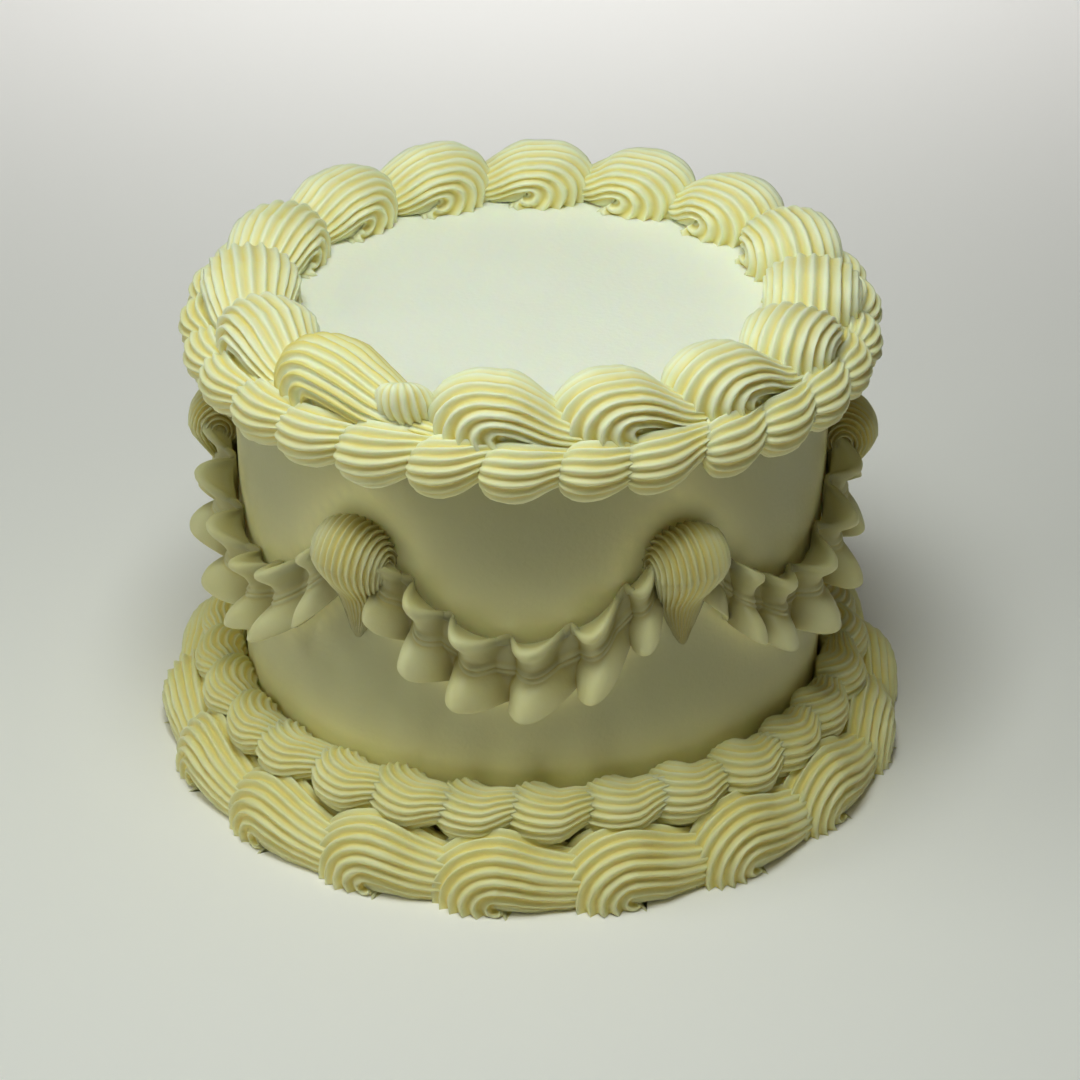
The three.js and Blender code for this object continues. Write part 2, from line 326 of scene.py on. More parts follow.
class CAKE_PG_drop_shells(PropertyGroup):
    """Sizes of the upright shells on the wall"""

    count: number("Count", 6, "Upright shells round the wall")
    first: angle("First", 237.5, "Angle of the first shell")
    eye_height: length("Eye height", 0.0915, "Height of the eye on the wall")
    head: length("Head", 0.012, "Reach of the head above the eye")
    reach: length("Reach", 0.028, "Length of the tail below the eye")
    width: length("Width", 0.0225, "Width across the head")
    height: length("Height", 0.0155, "How far the head stands off the wall")
    eye: length("Eye", 0.0045, "How far the eye stands off the wall")
    crown: share("Crown", 0.95, "Size of the strand where it leaves the head")
    lean: angle("Lean", 25.0, "How far the strand rolls on along its tail")
    tail: share("Tail", 0.08, "Size of the tail's end against the head")
    ease: share("Ease", 1.2, "How long the tail stays full")
    flat: share("Flat", 0.7, "Height of the tail against its width")
    drift: length("Drift", 0.0, "How far a tail that thins to nothing drifts aside")
    teeth: number("Teeth", 30, "Teeth of the piping tip")
    groove: share("Groove", 0.19, "Depth of the grooves against the radius")


class CAKE_PG_top_beads(PropertyGroup):
    """Sizes of the small shells along the upper edge of the wall"""

    count: number("Count", 30, "Beads in the ring")
    first: angle("First", 254.3, "Angle where the first bead starts")
    ring: length("Ring", 0.0886, "Radius of the line of centres")
    level: length("Level", 0.1248, "Height of the line of centres")
    radius: length("Radius", 0.0090, "Radius of a bead")
    bend: angle("Bend", 25.0, "How far the strand turns from its head into its tail")
    swing: length("Swing", 0.008, "Radius of that turn")
    teeth: number("Teeth", 16, "Teeth of the piping tip")
    lean: length("Lean", 0.0045, "How far a tail that thins to nothing is drawn in and up")
    groove: share("Groove", 0.2, "Depth of the grooves against the radius")


class CAKE_PG_base_beads(PropertyGroup):
    """Sizes of the small shells on the foot border"""

    count: number("Count", 29, "Beads in the ring")
    first: angle("First", 262.0, "Angle where the first bead starts")
    ring: length("Ring", 0.0902, "Radius of the line of centres")
    level: length("Level", 0.0211, "Height of the line of centres")
    radius: length("Radius", 0.0090, "Radius of a bead")
    bend: angle("Bend", 80.0, "How far the strand turns from its head into its tail")
    swing: length("Swing", 0.0085, "Radius of that turn")
    teeth: number("Teeth", 20, "Teeth of the piping tip")
    lean: length("Lean", 0.0045, "How far a tail that thins to nothing is drawn in and up")
    groove: share("Groove", 0.16, "Depth of the grooves against the radius")


class CAKE_PG_swags(PropertyGroup):
    """Sizes of the ruffle swags"""

    end_height: length("End height", 0.102, "Height of the line at the upright shells")
    sag: length("Sag", 0.0325, "How far the middle of a swag hangs lower")
    start: angle("Start", 4.0, "Angle from an upright shell to the end of the ribbon")
    folds: number("Folds", 6, "Folds in one swag")
    depth: length("Depth", 0.0115, "Depth of the folds at the hem")
    thickness: length("Thickness", 0.0017, "Thickness of the ribbon")


class CAKE_PG_finish(PropertyGroup):
    """Colours of the buttercream, with painted shade and a painted glow of light"""

    # Painted light: the crest colour stands for the lit piping on top, and the shade colour below
    # is painted shade for the piping where the light falls less.
    crest: colour("Crest", (0.86, 0.885, 0.62), "Colour of the piped ridges on top")
    shade: colour("Shade", (0.77, 0.74, 0.38), "Colour of the piped ridges below the top")
    # Painted shade: the warm, deeper colour that stands in for the shade deep in the grooves.
    groove: colour("Groove", (0.82, 0.71, 0.23), "Colour deep in the grooves")
    # Painted shade: how much deeper in tone the piping is painted close to the wall, where it lies
    # in shade.
    painted_wall_shade: colour("Dim", (0.52, 0.49, 0.42), "How much deeper the piping is close to the wall")
    # Painted light: the top is given a pale, lit colour and the wall a much darker one that stands
    # in for its shade.
    top: colour("Top", (0.94, 0.965, 0.82), "Colour of the scraped top")
    wall: colour("Wall", (0.47, 0.455, 0.235), "Colour of the scraped wall")
    # Painted light: the glow of warm light that the piping throws and lets through onto the wall
    # near it.
    glow: colour("Glow", (1.0, 0.93, 0.45), "Colour of the wall close to the piping")
    floor: colour("Floor", (0.92, 0.90, 0.88), "Colour of the studio floor")


class CAKE_PG_view(PropertyGroup):
    """Place of the camera"""

    distance: length("Distance", 0.9, "From the camera to the point that it looks at")
    elevation: angle("Elevation", 29.5, "Angle of the camera above the floor")
    target: length("Target", 0.06, "Height of the point that it looks at")
    aside: length("Aside", 0.00216, "How far it aims to the right of that point")
    below: length("Below", 0.00479, "How far it aims below that point")
    lens: FloatProperty(name="Lens", description="Focal length in millimetres", default=105.3)


class CAKE_PG_settings(PropertyGroup):
    """All settings of the cake"""

    coat: PointerProperty(type=CAKE_PG_coat)
    top_shells: PointerProperty(type=CAKE_PG_top_shells)
    base_shells: PointerProperty(type=CAKE_PG_base_shells)
    drop_shells: PointerProperty(type=CAKE_PG_drop_shells)
    top_beads: PointerProperty(type=CAKE_PG_top_beads)
    base_beads: PointerProperty(type=CAKE_PG_base_beads)
    swags: PointerProperty(type=CAKE_PG_swags)
    finish: PointerProperty(type=CAKE_PG_finish)
    view: PointerProperty(type=CAKE_PG_view)


def object_mode():
    """Leave any other mode, with nothing selected."""
    if bpy.context.mode != "OBJECT":
        bpy.ops.object.mode_set(mode="OBJECT")
    bpy.ops.object.select_all(action="DESELECT")


def only(piece):
    """Select one object and make it the active one."""
    object_mode()
    piece.select_set(True)
    bpy.context.view_layer.objects.active = piece


def turn(radians, axis, centre=ORIGIN):
    """Turn the selection by the right hand rule. Without a window the tool turns the other way."""
    bpy.ops.transform.rotate(
        value=-radians, orient_axis=axis, orient_type="GLOBAL", center_override=centre
    )


def grow(factors, centre=ORIGIN):
    """Scale the selection about a point."""
    bpy.ops.transform.resize(value=factors, orient_type="GLOBAL", center_override=centre)


def move(offset):
    """Move the selection."""
    bpy.ops.transform.translate(value=offset, orient_type="GLOBAL")


def select_points(test):
    """In edit mode, select the points that pass a test, and nothing else."""
    bpy.ops.mesh.select_mode(type="VERT")
    mesh = bmesh.from_edit_mesh(bpy.context.edit_object.data)
    mesh.verts.index_update()
    for point in mesh.verts:
        point.select_set(test(point))
    mesh.select_flush_mode()
    bmesh.update_edit_mesh(bpy.context.edit_object.data)


def star_outline(name, teeth, groove):
    """Start a piece, in edit mode, as the flat outline that a star tip pipes, of radius 1."""
    object_mode()
    bpy.ops.mesh.primitive_circle_add(vertices=4 * teeth, radius=1.0, fill_type="NGON")
    piece = bpy.context.object
    piece.name = name
    bpy.ops.object.mode_set(mode="EDIT")
    select_points(lambda point: point.index % 4 == 2)
    grow((1.0 - groove, 1.0 - groove, 1.0))
    select_points(lambda point: point.index % 2 == 1)
    grow((1.0 - FLANK * groove, 1.0 - FLANK * groove, 1.0))
    bpy.ops.mesh.select_all(action="SELECT")
    return piece


def cut_below(point, direction):
    """In edit mode, cut away what lies behind a plane and close the cut."""
    bpy.ops.mesh.select_all(action="SELECT")
    bpy.ops.mesh.bisect(
        plane_co=point, plane_no=direction, clear_inner=True, use_fill=True, threshold=1e-7
    )


def close_mesh():
    """Join doubled points, face the normals outward and leave edit mode."""
    bpy.ops.mesh.select_all(action="SELECT")
    bpy.ops.mesh.remove_doubles(threshold=2e-6)
    bpy.ops.mesh.normals_make_consistent(inside=False)
    bpy.ops.object.mode_set(mode="OBJECT")


def apply_modifier(piece, name, kind, **settings):
    """Add a modifier and apply it."""
    only(piece)
    modifier = piece.modifiers.new(name, kind)
    for key, value in settings.items():
        setattr(modifier, key, value)
    bpy.ops.object.modifier_apply(modifier=modifier.name)


def smooth(piece, levels=1):
    """Subdivide a piece and shade it smooth."""
    if levels:
        apply_modifier(
            piece, "Smooth", "SUBSURF", levels=levels, render_levels=levels, use_limit_surface=False
        )
    only(piece)
    bpy.ops.object.shade_smooth()


def mark_grooves(piece, shift=0.0):
    """Note on each point how deep it lies in a groove, for the painted groove shade of the finish,
    shifted as a whole.
    """
    mesh = piece.data
    points = np.empty(3 * len(mesh.vertices), dtype=np.float32)
    normals = np.empty(3 * len(mesh.vertices), dtype=np.float32)
    edges = np.empty(2 * len(mesh.edges), dtype=np.int32)
    mesh.vertices.foreach_get("co", points)
    mesh.vertices.foreach_get("normal", normals)
    mesh.edges.foreach_get("vertices", edges)
    points = points.reshape(-1, 3)
    normals = normals.reshape(-1, 3)
    start, end = edges.reshape(-1, 2).T
    along = points[end] - points[start]
    along /= np.linalg.norm(along, axis=1, keepdims=True) + 1e-12
    count = np.bincount(edges, minlength=len(points))
    hollow = np.bincount(start, (normals[start] * along).sum(axis=1), len(points))
    hollow -= np.bincount(end, (normals[end] * along).sum(axis=1), len(points))
    hollow = hollow / count + shift
    for _ in range(2):
        around = np.bincount(start, hollow[end], len(points))
        around += np.bincount(end, hollow[start], len(points))
        hollow = 0.5 * hollow + 0.5 * around / count
    groove = mesh.attributes.new("groove", "FLOAT", "POINT")
    groove.data.foreach_set("value", hollow.astype(np.float32))


def mark_painted_wall_shade(piece, wall):
    """Note how close to the wall each point of a hung piece lies. There the finish paints shade,
    deeper in tone.
    """
    painted_wall_shade = piece.data.attributes.new("painted_wall_shade", "FLOAT", "POINT")
    stands = [math.hypot(point.co.x, point.co.y) - wall for point in piece.data.vertices]
    painted_wall_shade.data.foreach_set("value", [1.0 - WALL_SHADE_FALL * eased(stand / WALL_SHADE_REACH) for stand in stands])


def cloud_texture(name, size, depth):
    """A soft noise for uneven surfaces."""
    texture = bpy.data.textures.get(name) or bpy.data.textures.new(name, "CLOUDS")
    texture.noise_scale = size
    texture.noise_depth = depth
    return texture


def roughen(piece, strength, size, depth=2):
    """Swell a placed piece unevenly, each place in its own way."""
    apply_modifier(
        piece,
        "Uneven",
        "DISPLACE",
        texture=cloud_texture(f"uneven {size:g}", size, depth),
        texture_coords="GLOBAL",
        strength=strength,
        mid_level=0.5,
    )


def set_down(piece, level):
    """Flatten what an uneven piece lets hang below the level that it lies on."""
    only(piece)
    bpy.ops.object.mode_set(mode="EDIT")
    select_points(lambda point: point.co.z < level)
    grow((1.0, 1.0, 0.0), (0.0, 0.0, level))
    bpy.ops.object.mode_set(mode="OBJECT")


def copy_of(piece, name):
    """A copy of a piece with a mesh of its own, selected."""
    only(piece)
    bpy.ops.object.duplicate(linked=False)
    twin = bpy.context.object
    twin.name = name
    twin.data.name = name
    return twin


def settle():
    """Put the place of the selected object into its mesh."""
    bpy.ops.object.transform_apply(location=True, rotation=True, scale=True)


def discard(pieces):
    """Delete models that were only copied from."""
    object_mode()
    for piece in pieces:
        piece.select_set(True)
    bpy.ops.object.delete()


def hand_over(piece, node, material):
    """Give a finished piece its material and its place in the frame."""
    piece.data.materials.clear()
    piece.data.materials.append(material)
    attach(piece, BODY)
    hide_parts(node)


def lerp(a, b, t):
    """The value that lies a share t of the way from a to b."""
    return a + (b - a) * t


def eased(t):
    """A share that starts and stops softly, held between 0 and 1."""
    t = min(1.0, max(0.0, t))
    return t * t * (3.0 - 2.0 * t)


def pipe_shell(name, sizes, tail_length, ring=0.0):
    """Pipe one shell at the origin: across along X, tail along Y, up along Z.

    The strand rolls over its eye from below, up and forward, and then thins along the tail,
    which bends round a ring's centre on the -X side if there is a ring.
    """
    piece = star_outline(name, sizes.teeth, sizes.groove)
    body = sizes.height - sizes.eye
    low = STRAND_LOW * body
    grow((0.5 * sizes.width, body - low, 1.0))
    move((0.0, low, 0.0))
    cut_below(ORIGIN, (0.0, 1.0, 0.0))
    bpy.ops.mesh.select_all(action="SELECT")

    eye = Vector((0.0, 0.0, sizes.eye))
    turn(math.pi - ROLL_START, "X")
    move(eye)

    def reach(roll):
        if roll < 0.0:
            return lerp(1.0, STRAND_START, roll / ROLL_START) * sizes.head / body
        return lerp(sizes.head / body, sizes.crown, math.sin(roll) ** 2)

    first = reach(ROLL_START)
    grow((1.0, first, first), eye)
    step = (0.5 * math.pi - ROLL_START) / HEAD_STEPS
    for i in range(HEAD_STEPS):
        change = reach(ROLL_START + (i + 1) * step) / reach(ROLL_START + i * step)
        bpy.ops.mesh.extrude_region_move()
        turn(-step, "X", eye)
        grow((1.0, change, change), eye)

    size = 1.0
    thick = 1.0
    done = 0.0
    feet = set()
    for i in range(TAIL_STEPS):
        bpy.ops.mesh.extrude_region_move()
        along = (i + TAIL_FIRST) / (TAIL_STEPS - 1.0 + TAIL_FIRST)
        wanted = lerp(1.0, sizes.tail, along**sizes.ease)
        carry(-done * tail_length, ring)
        turn((done - along) * sizes.lean, "X", eye)
        thinner = wanted * lerp(1.0, sizes.flat, eased(TAIL_SETTLES * along))
        grow((wanted / size, wanted / size, thinner / thick), eye)
        sink = sizes.eye * (eased(TAIL_SETTLES * along) - eased(TAIL_SETTLES * done))
        shift = Vector((sizes.drift * (size - wanted), 0.0, -sink))
        move(shift)
        eye += shift
        feet |= low_points(eye.z)
        carry(along * tail_length, ring)
        size = wanted
        thick = thinner
        done = along
    select_points(lambda point: point.index in feet)
    grow((1.0, 1.0, 0.0), (0.0, 0.0, FEET_LEVEL))
    cut_below(ORIGIN, (0.0, 0.0, 1.0))
    if ring:
        soften(lambda point: point.y > SMEARED_TAIL * tail_length, 2)
        soften(lambda point: point.x < SMEARED_SIDE * sizes.width, 1)
    close_mesh()
    smooth(piece)
    mark_grooves(piece)
    return piece


def soften(test, times):
    """In edit mode, smear the ridges of a piped shell where a test on the place says so."""
    select_points(lambda point: point.co.z > SMEARED_ABOVE and test(point.co))
    bpy.ops.mesh.vertices_smooth(factor=0.5, repeat=times)


def carry(distance, ring):
    """Carry the selection along Y, or round a ring's centre on the -X side if there is a ring."""
    if ring:
        turn(distance / ring, "Z", (-ring, 0.0, 0.0))
    else:
        move((0.0, distance, 0.0))


def low_points(level):
    """In edit mode, the numbers of the selected points that lie no higher than a level."""
    mesh = bmesh.from_edit_mesh(bpy.context.edit_object.data)
    mesh.verts.index_update()
    return {point.index for point in mesh.verts if point.select and point.co.z < level + 1e-5}


def pipe_bead(name, sizes, stations):
    """Pipe one bead at angle zero of its ring, with its tail running anticlockwise."""
    piece = star_outline(name, sizes.teeth, sizes.groove)
    turn(0.5 * math.pi, "X")
    for _ in stations[1:]:
        bpy.ops.mesh.extrude_region_move()
    pitch = 2.0 * math.pi / sizes.count
    for i, (turned, along, size) in enumerate(stations):
        select_points(lambda point: point.index // (4 * sizes.teeth) == i)
        grow((sizes.radius * size,) * 3)
        yaw = (1.0 - turned) * sizes.bend
        turn(-yaw, "Z")
        drawn = sizes.lean * (1.0 - size) if along > BEAD_TAIL else 0.0
        inward = sizes.swing * (1.0 - math.cos(yaw)) + drawn
        move((sizes.ring - inward, -sizes.swing * math.sin(yaw), sizes.level + drawn))
        turn(along * pitch, "Z")
    close_mesh()
    smooth(piece)
    mark_grooves(piece)
    return piece


def pipe_rope(name, sizes, stations, seed):
    """A ring of beads, each a copy with a size and place of its own, joined to one piece."""
    chance = random.Random(seed)
    model = pipe_bead(f"{name}_model", sizes, stations)
    beads = []
    for i in range(sizes.count):
        bead = copy_of(model, name)
        centre = Vector((sizes.ring, 0.0, sizes.level))
        for axis, most in BEAD_TURNS:
            turn(math.radians(chance.uniform(-most, most)), axis, centre)
        grow((chance.uniform(*BEAD_SIZES),) * 3, centre)
        shift = chance.uniform(-BEAD_SHIFT, BEAD_SHIFT)
        turn(sizes.first + (i + shift) * 2.0 * math.pi / sizes.count, "Z")
        settle()
        beads.append(bead)
    discard([model])
    only(beads[0])
    for bead in beads:
        bead.select_set(True)
    bpy.ops.object.join()
    rope = bpy.context.object
    roughen(rope, *BEAD_SWELLS)
    return rope


def place_on_ring(piece, sizes, eye_angle, chance):
    """Set a piped shell on its ring with a little chance in its size and turn."""
    only(piece)
    turn(math.radians(chance.uniform(-SHELL_TURN, SHELL_TURN)), "Z")
    wide = chance.uniform(*SHELL_WIDTHS)
    grow((wide, wide, chance.uniform(*SHELL_HEIGHTS)))
    move((sizes.ring, 0.0, sizes.bed))
    turn(eye_angle, "Z")
    settle()
    roughen(piece, *SHELL_SWELLS)
    set_down(piece, sizes.bed)


def ring_of_shells(name, sizes, spans, seed, material):
    """A border of large shells, each running under the head of the next. Gives the last shell."""
    chance = random.Random(seed)
    models = {}
    eye_angle = sizes.first
    for i, span in enumerate(spans):
        if span not in models:
            tail_length = span * sizes.ring - TAIL_UNDER_HEAD * sizes.head
            models[span] = pipe_shell(f"{name}_model", sizes, tail_length, sizes.ring)
        node = f"{name}_{i + 1:02d}"
        shell = copy_of(models[span], node)
        place_on_ring(shell, sizes, eye_angle, chance)
        hand_over(shell, node, material)
        eye_angle += span
    discard(models.values())
    return shell


def fold_edges(folds, chance):
    """Where the folds of one ruffle begin and end. They are wider in the middle of the swag."""
    widths = []
    for i in range(folds):
        middle = math.sin(math.pi * (i + 0.7) / (folds + 0.4))
        widths.append((FOLD_NARROW + FOLD_WIDER * middle) * chance.uniform(*FOLD_WIDTHS))
    total = sum(widths)
    edges = [0.0]
    for width in widths:
        edges.append(edges[-1] + width / total)
    return edges


def ruffle_ribbon(name, sizes, first_angle, pitch, wall, chance):
    """One swag: a ribbon laid out flat, folded in and out, and hung along its line.

    The folds swell and narrow from row to row, so the points of the flat ribbon are moved
    one by one to their places.
    """
    columns = FOLD_COLUMNS * sizes.folds
    rows = len(RUFFLE_ROWS) - 1
    object_mode()
    bpy.ops.mesh.primitive_grid_add(x_subdivisions=columns, y_subdivisions=rows, size=1.0)
    ribbon = bpy.context.object
    ribbon.name = name
    ribbon.data.name = name
    edges = fold_edges(sizes.folds, chance)
    deep = [chance.uniform(*FOLD_DEPTHS) for _ in range(sizes.folds)]
    deep[0] *= FIRST_FOLD
    deep[-1] *= LAST_FOLD
    tilt = [chance.uniform(-FOLD_TILT, FOLD_TILT) for _ in range(sizes.folds + 1)]
    hem = [chance.uniform(-FOLD_HEM, FOLD_HEM) for _ in range(sizes.folds)]
    wide = [chance.uniform(*FOLD_SPREADS) for _ in range(sizes.folds)]
    span = pitch - 2.0 * sizes.start
    for point in ribbon.data.vertices:
        column = round((point.co.x + 0.5) * columns)
        row = round((0.5 - point.co.y) * rows)
        drop, depth, stand, spread, before, after = RUFFLE_ROWS[row]
        fold = min(column // FOLD_COLUMNS, sizes.folds - 1)
        phase = column / FOLD_COLUMNS - fold
        down = row / rows
        if phase < CREST:
            out = max(0.0, 1.0 - ((CREST - phase) / before) ** 2) ** FOLD_RISE
        else:
            out = math.cos(0.5 * math.pi * min(1.0, (phase - CREST) / after)) ** FOLD_FALL
        skew = lerp(tilt[fold], tilt[fold + 1], phase) * (down - TILT_ROW)
        bulge = phase - out * spread * wide[fold]
        along = lerp(edges[fold], edges[fold + 1], bulge) + skew / sizes.folds
        radius = wall + RIBBON_OFF * sizes.thickness + out * depth * deep[fold] * sizes.depth
        radius += 0.001 * stand
        turned = first_angle + sizes.start + span * along
        part = (sizes.start + span * along) / pitch
        level = sizes.end_height - sizes.sag * 4.0 * part * (1.0 - part)
        level -= 0.001 * drop - hem[fold] * down * out
        point.co = (radius * math.cos(turned), radius * math.sin(turned), level)
    only(ribbon)
    bpy.ops.object.mode_set(mode="EDIT")
    bpy.ops.mesh.select_all(action="SELECT")
    bpy.ops.mesh.normals_make_consistent(inside=False)
    bpy.ops.object.mode_set(mode="OBJECT")
    apply_modifier(ribbon, "Thick", "SOLIDIFY", thickness=sizes.thickness, offset=0.0)
    smooth(ribbon)
    mark_grooves(ribbon, RUFFLE_PALER)
    mark_painted_wall_shade(ribbon, wall)
    roughen(ribbon, *RUFFLE_SWELLS)
    return ribbon


def new_material(name):
    """An empty node material with its Principled shader."""
    material = bpy.data.materials.new(name)
    material.use_nodes = True
    return material, material.node_tree, material.node_tree.nodes["Principled BSDF"]


def linked_node(tree, kind, **values):
    """A shader node with its settings and unlinked sockets set."""
    node = tree.nodes.new(kind)
    for key, value in values.items():
        if key in node.inputs:
            node.inputs[key].default_value = value
        else:
            setattr(node, key, value)
    return node


def noise_of(tree, place, scale, detail):
    """A noise in object space."""
    node = linked_node(tree, "ShaderNodeTexNoise", Scale=scale, Detail=detail)
    tree.links.new(place.outputs["Object"], node.inputs["Vector"])
    return node


def ranged(tree, value, low, high, to_low, to_high):
    """A value brought from one range into another."""
    node = linked_node(tree, "ShaderNodeMapRange")
    node.inputs["From Min"].default_value = low
    node.inputs["From Max"].default_value = high
    node.inputs["To Min"].default_value = to_low
    node.inputs["To Max"].default_value = to_high
    tree.links.new(value, node.inputs["Value"])
    return node.outputs["Result"]


def mixed(tree, factor, a, b):
    """Two colours mixed by a factor."""
    node = linked_node(tree, "ShaderNodeMix", data_type="RGBA")
    tree.links.new(factor, node.inputs["Factor"])
    for socket, value in ((node.inputs["A"], a), (node.inputs["B"], b)):
        if isinstance(value, bpy.types.NodeSocket):
            tree.links.new(value, socket)
        else:
            socket.default_value = (*value, 1.0)
    return node.outputs["Result"]


def buttercream(name, soft, depth):
    """Satin buttercream without its colour: soft light inside and a fine grain."""
    material, tree, shader = new_material(name)
    place = linked_node(tree, "ShaderNodeTexCoord")
    patches = noise_of(tree, place, *PATCHES)
    fine = noise_of(tree, place, *GRAIN)
    rough = ranged(tree, patches.outputs["Fac"], 0.3, 0.7, *ROUGHNESS)
    tree.links.new(rough, shader.inputs["Roughness"])
    bump = linked_node(tree, "ShaderNodeBump", Strength=0.2, Distance=0.0006)
    tree.links.new(fine.outputs["Fac"], bump.inputs["Height"])
    tree.links.new(bump.outputs["Normal"], shader.inputs["Normal"])
    shader.inputs["Subsurface Weight"].default_value = soft
    shader.inputs["Subsurface Radius"].default_value = (1.0, 0.75, 0.3)
    shader.inputs["Subsurface Scale"].default_value = depth
    shader.inputs["Specular IOR Level"].default_value = 0.45
    return material, tree, shader, place, patches


def piped_finish(context):
    """The finish of everything piped: painted shade, warmer and deeper, in the grooves, paler on
    the ridges, and painted shade on the piping below the top and close to the wall.
    """
    name = "Piped buttercream"
    if name in bpy.data.materials:
        return bpy.data.materials[name]
    finish = context.scene.cake.finish
    material, tree, shader, place, patches = buttercream(name, *PIPED_SOFT)
    # The groove mark paints warm shade into the grooves of the piping.
    marked = linked_node(tree, "ShaderNodeAttribute", attribute_name="groove")
    depth = ranged(tree, marked.outputs["Fac"], *GROOVE_MARKS, 0.0, 1.0)
    apart = linked_node(tree, "ShaderNodeSeparateXYZ")
    tree.links.new(place.outputs["Object"], apart.inputs["Vector"])
    # Painted light: the piping on top gets the pale, lit crest colour and the piping below it the
    # painted shade colour.
    lit_top = ranged(tree, apart.outputs["Z"], *LIT_TOP_HEIGHTS, 0.0, 1.0)
    ridge = mixed(tree, lit_top, finish.shade, finish.crest)
    paler = tuple(min(1.0, 1.03 * part) for part in finish.crest)
    patchy = mixed(tree, ranged(tree, patches.outputs["Fac"], 0.4, 0.8, 0.0, 0.5), ridge, paler)
    with_groove_shade = mixed(tree, depth, patchy, finish.groove)
    # Painted shade: the piping close to the wall is multiplied deeper in tone.
    wall_shade_mark = linked_node(tree, "ShaderNodeAttribute", attribute_name="painted_wall_shade")
    deeper = linked_node(tree, "ShaderNodeMix", data_type="RGBA", blend_type="MULTIPLY")
    tree.links.new(wall_shade_mark.outputs["Fac"], deeper.inputs["Factor"])
    tree.links.new(with_groove_shade, deeper.inputs["A"])
    deeper.inputs["B"].default_value = (*finish.painted_wall_shade, 1.0)
    tree.links.new(deeper.outputs["Result"], shader.inputs["Base Color"])
    return material


def coat_finish(context):
    """The finish of the smooth coat: paler on top than on the wall, whose darker colour is painted
    shade, with a painted glow close to the piping.
    """
    name = "Smooth buttercream"
    if name in bpy.data.materials:
        return bpy.data.materials[name]
    cake = context.scene.cake
    material, tree, shader, place, patches = buttercream(name, *COAT_SOFT)
    apart = linked_node(tree, "ShaderNodeSeparateXYZ")
    tree.links.new(place.outputs["Object"], apart.inputs["Vector"])
    edge = cake.coat.height - cake.coat.edge
    rise = ranged(tree, apart.outputs["Z"], edge, cake.coat.height - 0.0005, 0.0, 1.0)
    # The wall colour is painted shade; its patches are a real, random tone.
    deeper = tuple(0.97 * part for part in cake.finish.wall)
    patchy = mixed(tree, patches.outputs["Fac"], cake.finish.wall, deeper)
    # Painted light: the wall close to the piping is mixed toward the glow colour.
    marked = linked_node(tree, "ShaderNodeAttribute", attribute_name="glow")
    near = ranged(tree, marked.outputs["Fac"], 0.0, 1.0, 0.0, 0.95)
    warm = mixed(tree, near, patchy, cake.finish.glow)
    tree.links.new(mixed(tree, rise, warm, cake.finish.top), shader.inputs["Base Color"])
    return material


def mark_glow(coat, cake):
    """Note how close each point of the wall is to the piping, for the painted glow of the finish.
    """
    swags = cake.swags
    pitch = 2.0 * math.pi / cake.drop_shells.count
    foot = cake.base_beads.level + cake.base_beads.radius
    values = []
    for point in coat.data.vertices:
        turned = math.atan2(point.co.y, point.co.x) - cake.drop_shells.first
        part = turned % pitch / pitch
        line = swags.end_height - swags.sag * 4.0 * part * (1.0 - part)
        above = point.co.z - line
        near = math.exp(-max(0.0, above - LIP_RISE) / FADE_ABOVE)
        if above < 0.0:
            near = math.exp(min(0.0, above + HEM_DROP) / FADE_BELOW)
        beside = ((turned + 0.5 * pitch) % pitch - 0.5 * pitch) * cake.coat.radius
        off = math.hypot(beside, point.co.z - cake.drop_shells.eye_height) - cake.drop_shells.head
        near += math.exp(-max(0.0, off) / FADE_ROUND)
        values.append(min(1.0, near + math.exp(-max(0.0, point.co.z - foot) / FADE_FOOT)))
    coat.data.attributes.new("glow", "FLOAT", "POINT").data.foreach_set("value", values)


class CAKE_OT_coat(Operator):
    """Model the smooth coated cake"""

    bl_idname = "cake.coat"
    bl_label = "Smooth coat"
    bl_options = {"REGISTER", "UNDO"}

    def execute(self, context):
        sizes = context.scene.cake.coat
        object_mode()
        bpy.ops.mesh.primitive_cylinder_add(
            vertices=COAT_COLUMNS,
            radius=sizes.radius,
            depth=sizes.height,
            location=(0.0, 0.0, 0.5 * sizes.height),
        )
        settle()
        coat = bpy.context.object
        coat.name = "cake_coat"
        bpy.ops.object.mode_set(mode="EDIT")
        select_points(lambda point: point.co.z > 0.5 * sizes.height)
        bpy.ops.mesh.bevel(offset=sizes.edge, segments=4, profile=0.5, affect="EDGES")
        select_points(lambda point: point.co.z > sizes.height - 1e-6)
        bpy.ops.mesh.select_mode(type="FACE")
        for _ in range(TOP_RINGS):
            bpy.ops.mesh.inset(thickness=TOP_RING_STEP, depth=0.0)
        bpy.ops.mesh.poke()
        for i in range(1, WALL_RINGS):
            level = (sizes.height - sizes.edge) * i / WALL_RINGS
            bpy.ops.mesh.select_all(action="SELECT")
            bpy.ops.mesh.bisect(plane_co=(0.0, 0.0, level), plane_no=(0.0, 0.0, 1.0))
        close_mesh()
        smooth(coat, 0)
        roughen(coat, sizes.uneven, COAT_SWELL_SIZE)
        set_down(coat, 0.0)
        mark_glow(coat, context.scene.cake)
        hand_over(coat, "cake_body", coat_finish(context))
        return {"FINISHED"}


def pull_up_dab(context, shell):
    """Add the small upright dab where the bag was pulled off at the end of the last top shell."""
    cake = context.scene.cake
    shells = cake.top_shells
    dab = pipe_bead("top_dab", cake.top_beads, TOP_BEAD)
    only(dab)
    move((-cake.top_beads.ring, 0.0, -cake.top_beads.level))
    turn(math.radians(DAB_TILT), "X")
    grow(DAB_SIZE)
    move((shells.ring + DAB_OUTSIDE, 0.0, shells.bed + DAB_RISE))
    turn(shells.first - math.radians(DAB_BEFORE), "Z")
    settle()
    roughen(dab, *SHELL_SWELLS)
    dab.data.materials.append(piped_finish(context))
    only(shell)
    dab.select_set(True)
    bpy.ops.object.join()


